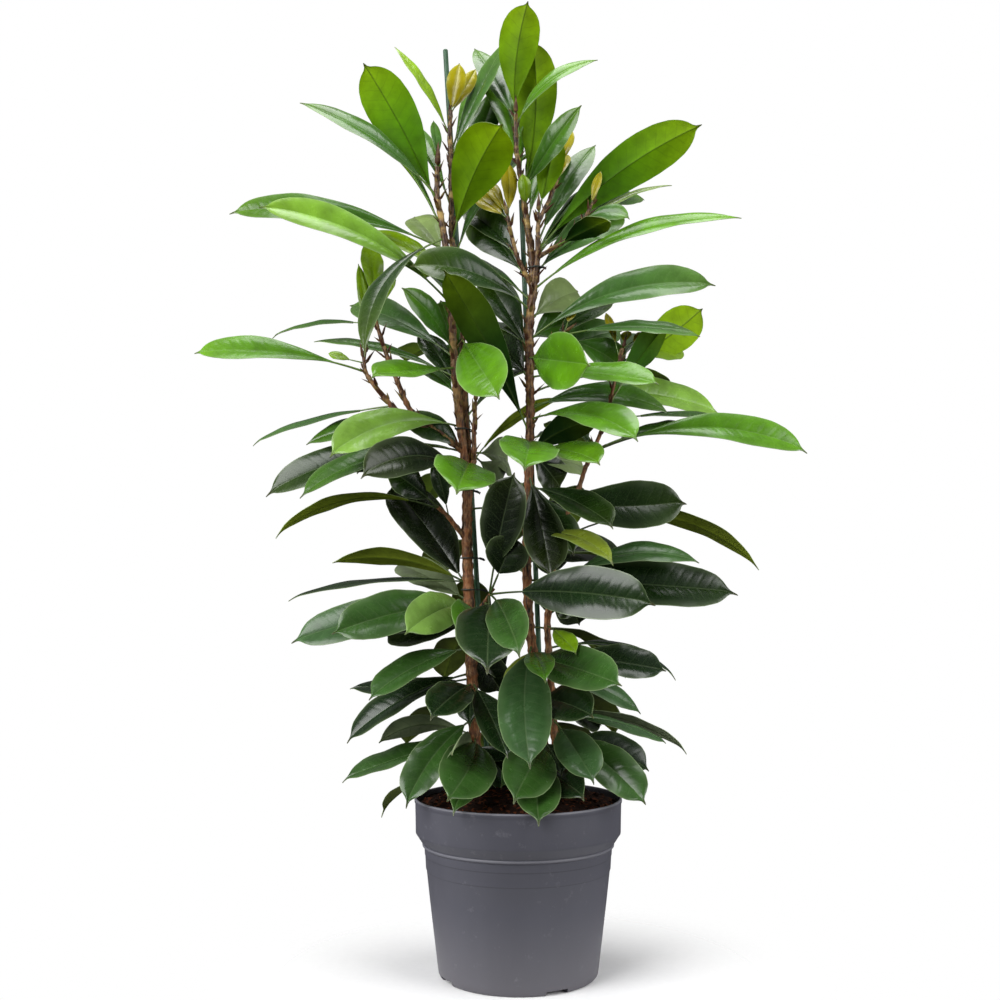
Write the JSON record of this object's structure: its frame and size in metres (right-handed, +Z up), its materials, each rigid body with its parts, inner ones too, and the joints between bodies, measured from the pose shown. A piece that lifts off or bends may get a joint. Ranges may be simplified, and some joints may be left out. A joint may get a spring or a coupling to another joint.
{
  "type": "potted african fig plant",
  "caption": "Bushy african fig in a nursery pot, with long leathery leaves along upright stems that are tied to thin stakes.",
  "frame": {"origin": "centre of the pot's foot, on the surface that it stands on", "axes": "+Z up along the pot's axis, -Y toward the plant's front, +X to the right of the front view"},
  "size_m": [0.7114, 0.3986, 1.1399],
  "materials": {
    "pot": "moulded grey plastic, satin",
    "soil": "dark crumbly potting soil",
    "plant": "glossy green leaves on brown bark",
    "stake": "dark green coated stake",
    "tie": "dark coated tie wire"
  },
  "bodies": {
    "root": {"pot": "pot", "soil": "soil", "stem_left": "plant", "stem_right": "plant", "stem_right_low": "plant", "stake_left": "stake", "stake_right": "stake", "tie_left_1": "tie", "tie_left_2": "tie", "tie_left_3": "tie", "tie_left_4": "tie", "tie_right_1": "tie"}
  },
  "joints": []
}
